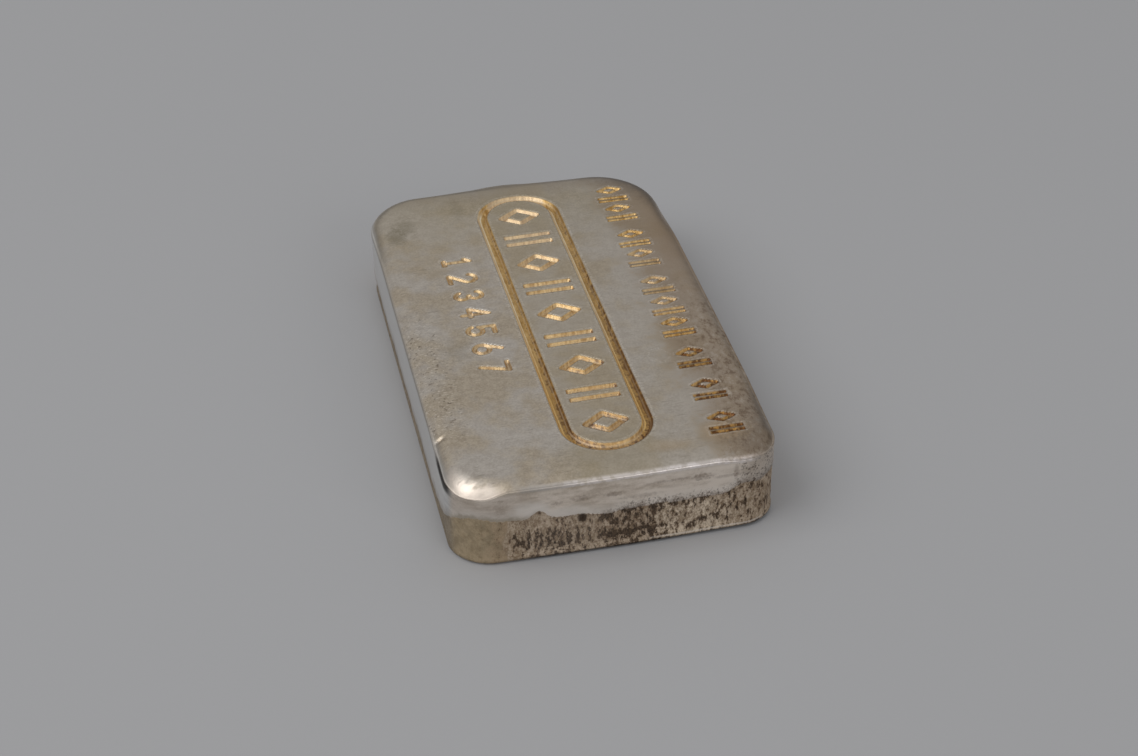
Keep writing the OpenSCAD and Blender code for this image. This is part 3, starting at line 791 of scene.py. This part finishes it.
held = held + (ripples - 0.5) * 0.6 * silver.eased(up, 2.0, 1.2) * silver.eased(across, 4.0, 0.0)
foot_specks = silver.eased(pits + clumps * 0.5 - up * 0.1, 0.62, 0.78) * silver.eased(across, -12.0, -8.0)
dirt = silver.eased(held + foot_specks * 0.1 * near_end, 0.90, 0.97)

# Its own colour is tan: lighter on the right, and olive and plain at the near left corner. Along the
# left side it is dark grey-brown.
tan_dark, tan_light = (0.30, 0.215, 0.135), (0.58, 0.465, 0.35)
right_dark, right_light = (0.37, 0.28, 0.19), (0.80, 0.67, 0.52)
plain_dark, plain_light = (0.30, 0.235, 0.14), (0.47, 0.37, 0.235)
warm_dark, warm_light = (0.31, 0.205, 0.12), (0.54, 0.40, 0.265)
left_dark, left_light = (0.15, 0.12, 0.085), (0.30, 0.25, 0.185)
pale = silver.eased(clumps * 0.35 + pits * 0.4 + grit * 0.25, 0.58, 0.42)
on_right = silver.eased(across, 3.0, 6.0) * silver.eased(across, 15.0, 11.0)
tan = silver.mix(on_right, silver.mix(pale, tan_dark, tan_light), silver.mix(pale, right_dark, right_light))
plain_tan = silver.mix(silver.eased(mottle, 0.35, 0.65), plain_dark, plain_light)
warm_share = silver.eased(across + (mottle - 0.5) * 8.0, -16.5, -13.0) * 0.75
plain_tan = silver.mix(warm_share, plain_tan, silver.mix(silver.eased(pits, 0.4, 0.6), warm_dark, warm_light))
plain_corner = silver.eased(grime, 0.2, 0.02)
crust = silver.mix(plain_corner * 0.8, tan, plain_tan)
crust = silver.mix(left_side * 0.75, crust, silver.mix(pale, left_dark, left_light))

# The dirt goes on over the tan, with a painted shadow line at the foot and a thin bare edge above it.
dirt_rim, corner_speck, dirt_black = (0.20, 0.12, 0.065), (0.12, 0.07, 0.04), (0.02, 0.011, 0.006)
dirt_brown, foot_shadow_black, bare_metal = (0.135, 0.088, 0.055), (0.02, 0.013, 0.009), (0.80, 0.72, 0.63)
stray_brown, spot_black = (0.10, 0.07, 0.05), (0.045, 0.027, 0.017)
crust = silver.mix(silver.eased(held, 0.80, 0.92) * 0.5, crust, dirt_rim)
corner_specks = silver.eased(pits * 0.7 + clumps * 0.5, 0.66, 0.74) * silver.eased(across, -18.0, -14.5)
crust = silver.mix(corner_specks * plain_corner * near_end * 0.75, crust, corner_speck)
dirt_tone = silver.mix(silver.eased(grit, 0.40, 0.60), dirt_black, dirt_brown)
crust = silver.mix(dirt * 0.95, crust, dirt_tone)
# A painted shadow line along the near end's foot.
painted_foot_shadow = silver.eased(up + (pits - 0.5) * 0.3, 0.62, 0.35) * near_end * silver.eased(across, -15.0, -9.0)
crust = silver.mix(painted_foot_shadow * 0.9, crust, foot_shadow_black)
bare_edge = silver.eased(abs(up - 0.74), 0.16, 0.05) * near_end
bare_edge = bare_edge * silver.eased(across, 2.0, 6.0) * silver.eased(across, 18.5, 16.5)
crust = silver.mix(bare_edge * 0.6, crust, bare_metal)
stray = silver.eased(pits * 0.7 + streaks * 0.5 + rim * 0.14, 0.76, 0.82) * right_half
metal = silver.mix(stray * silver.eased(rim, 0.1, 0.7) * near_end * 0.7, metal, stray_brown)
cast_edge = silver.eased(cast + (pits - 0.5) * 1.3 + (streaks - 0.5) * 1.2, 0.3, 0.75)
colour = silver.mix(cast_edge * 0.95, metal, crust)
spot = (across + 4.4) * (across + 4.4) + (up - 5.25) * (up - 5.25) * 0.7 + (pits - 0.5) * 0.9
colour = silver.mix(silver.eased(spot, 0.50, 0.12) * near_end * 0.95, colour, spot_black)

# The cast skin and its dirt are rougher than the metal, and less metallic.
silver_gloss, bump_strength, bump_height = 0.25, 0.4, 0.0001
fine = silver.noise(place, 7.0, 3.0, 0.6)
brushed = silver.noise(place, 5.0, 2.0, 0.5, (1.0, 0.15, 1.0))
rough = 0.26 + 0.14 * mottle + 0.06 * toning + 0.12 * in_mark + cast_edge * (0.22 + 0.3 * dirt)
rough = rough + pressed_flat * (0.16 - 0.12 * polish_and_highlight)
rough = rough + crease_shadow_run * 0.3 + crease_strip * near_end * 0.08 + shaded_crease_run * 0.1
relief = fine * 0.3 + brushed * 0.2 + mottle * 0.5 + in_mark * hatch * 2.0 + pressed_flat * fan * 0.9
relief = relief + cast_edge * (pits * 1.6 + streaks * 3.0 - dirt * 1.2)
bump = {"Strength": bump_strength, "Distance": bump_height, "Height": relief}
silver_look = {
    "Base Color": colour,
    "Roughness": rough,
    "Metallic": 1.0 - cast_edge * 0.6,
    "Specular IOR Level": silver_gloss,
    "Normal": silver.node("ShaderNodeBump", {}, bump),
}
silver_shader = silver.node("ShaderNodeBsdfPrincipled", {}, silver_look)
silver.node("ShaderNodeOutputMaterial", {}, {"Surface": silver_shader})
skin.materials.append(silver_finish)

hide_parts("silver_bar")
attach(silver_bar, "root")
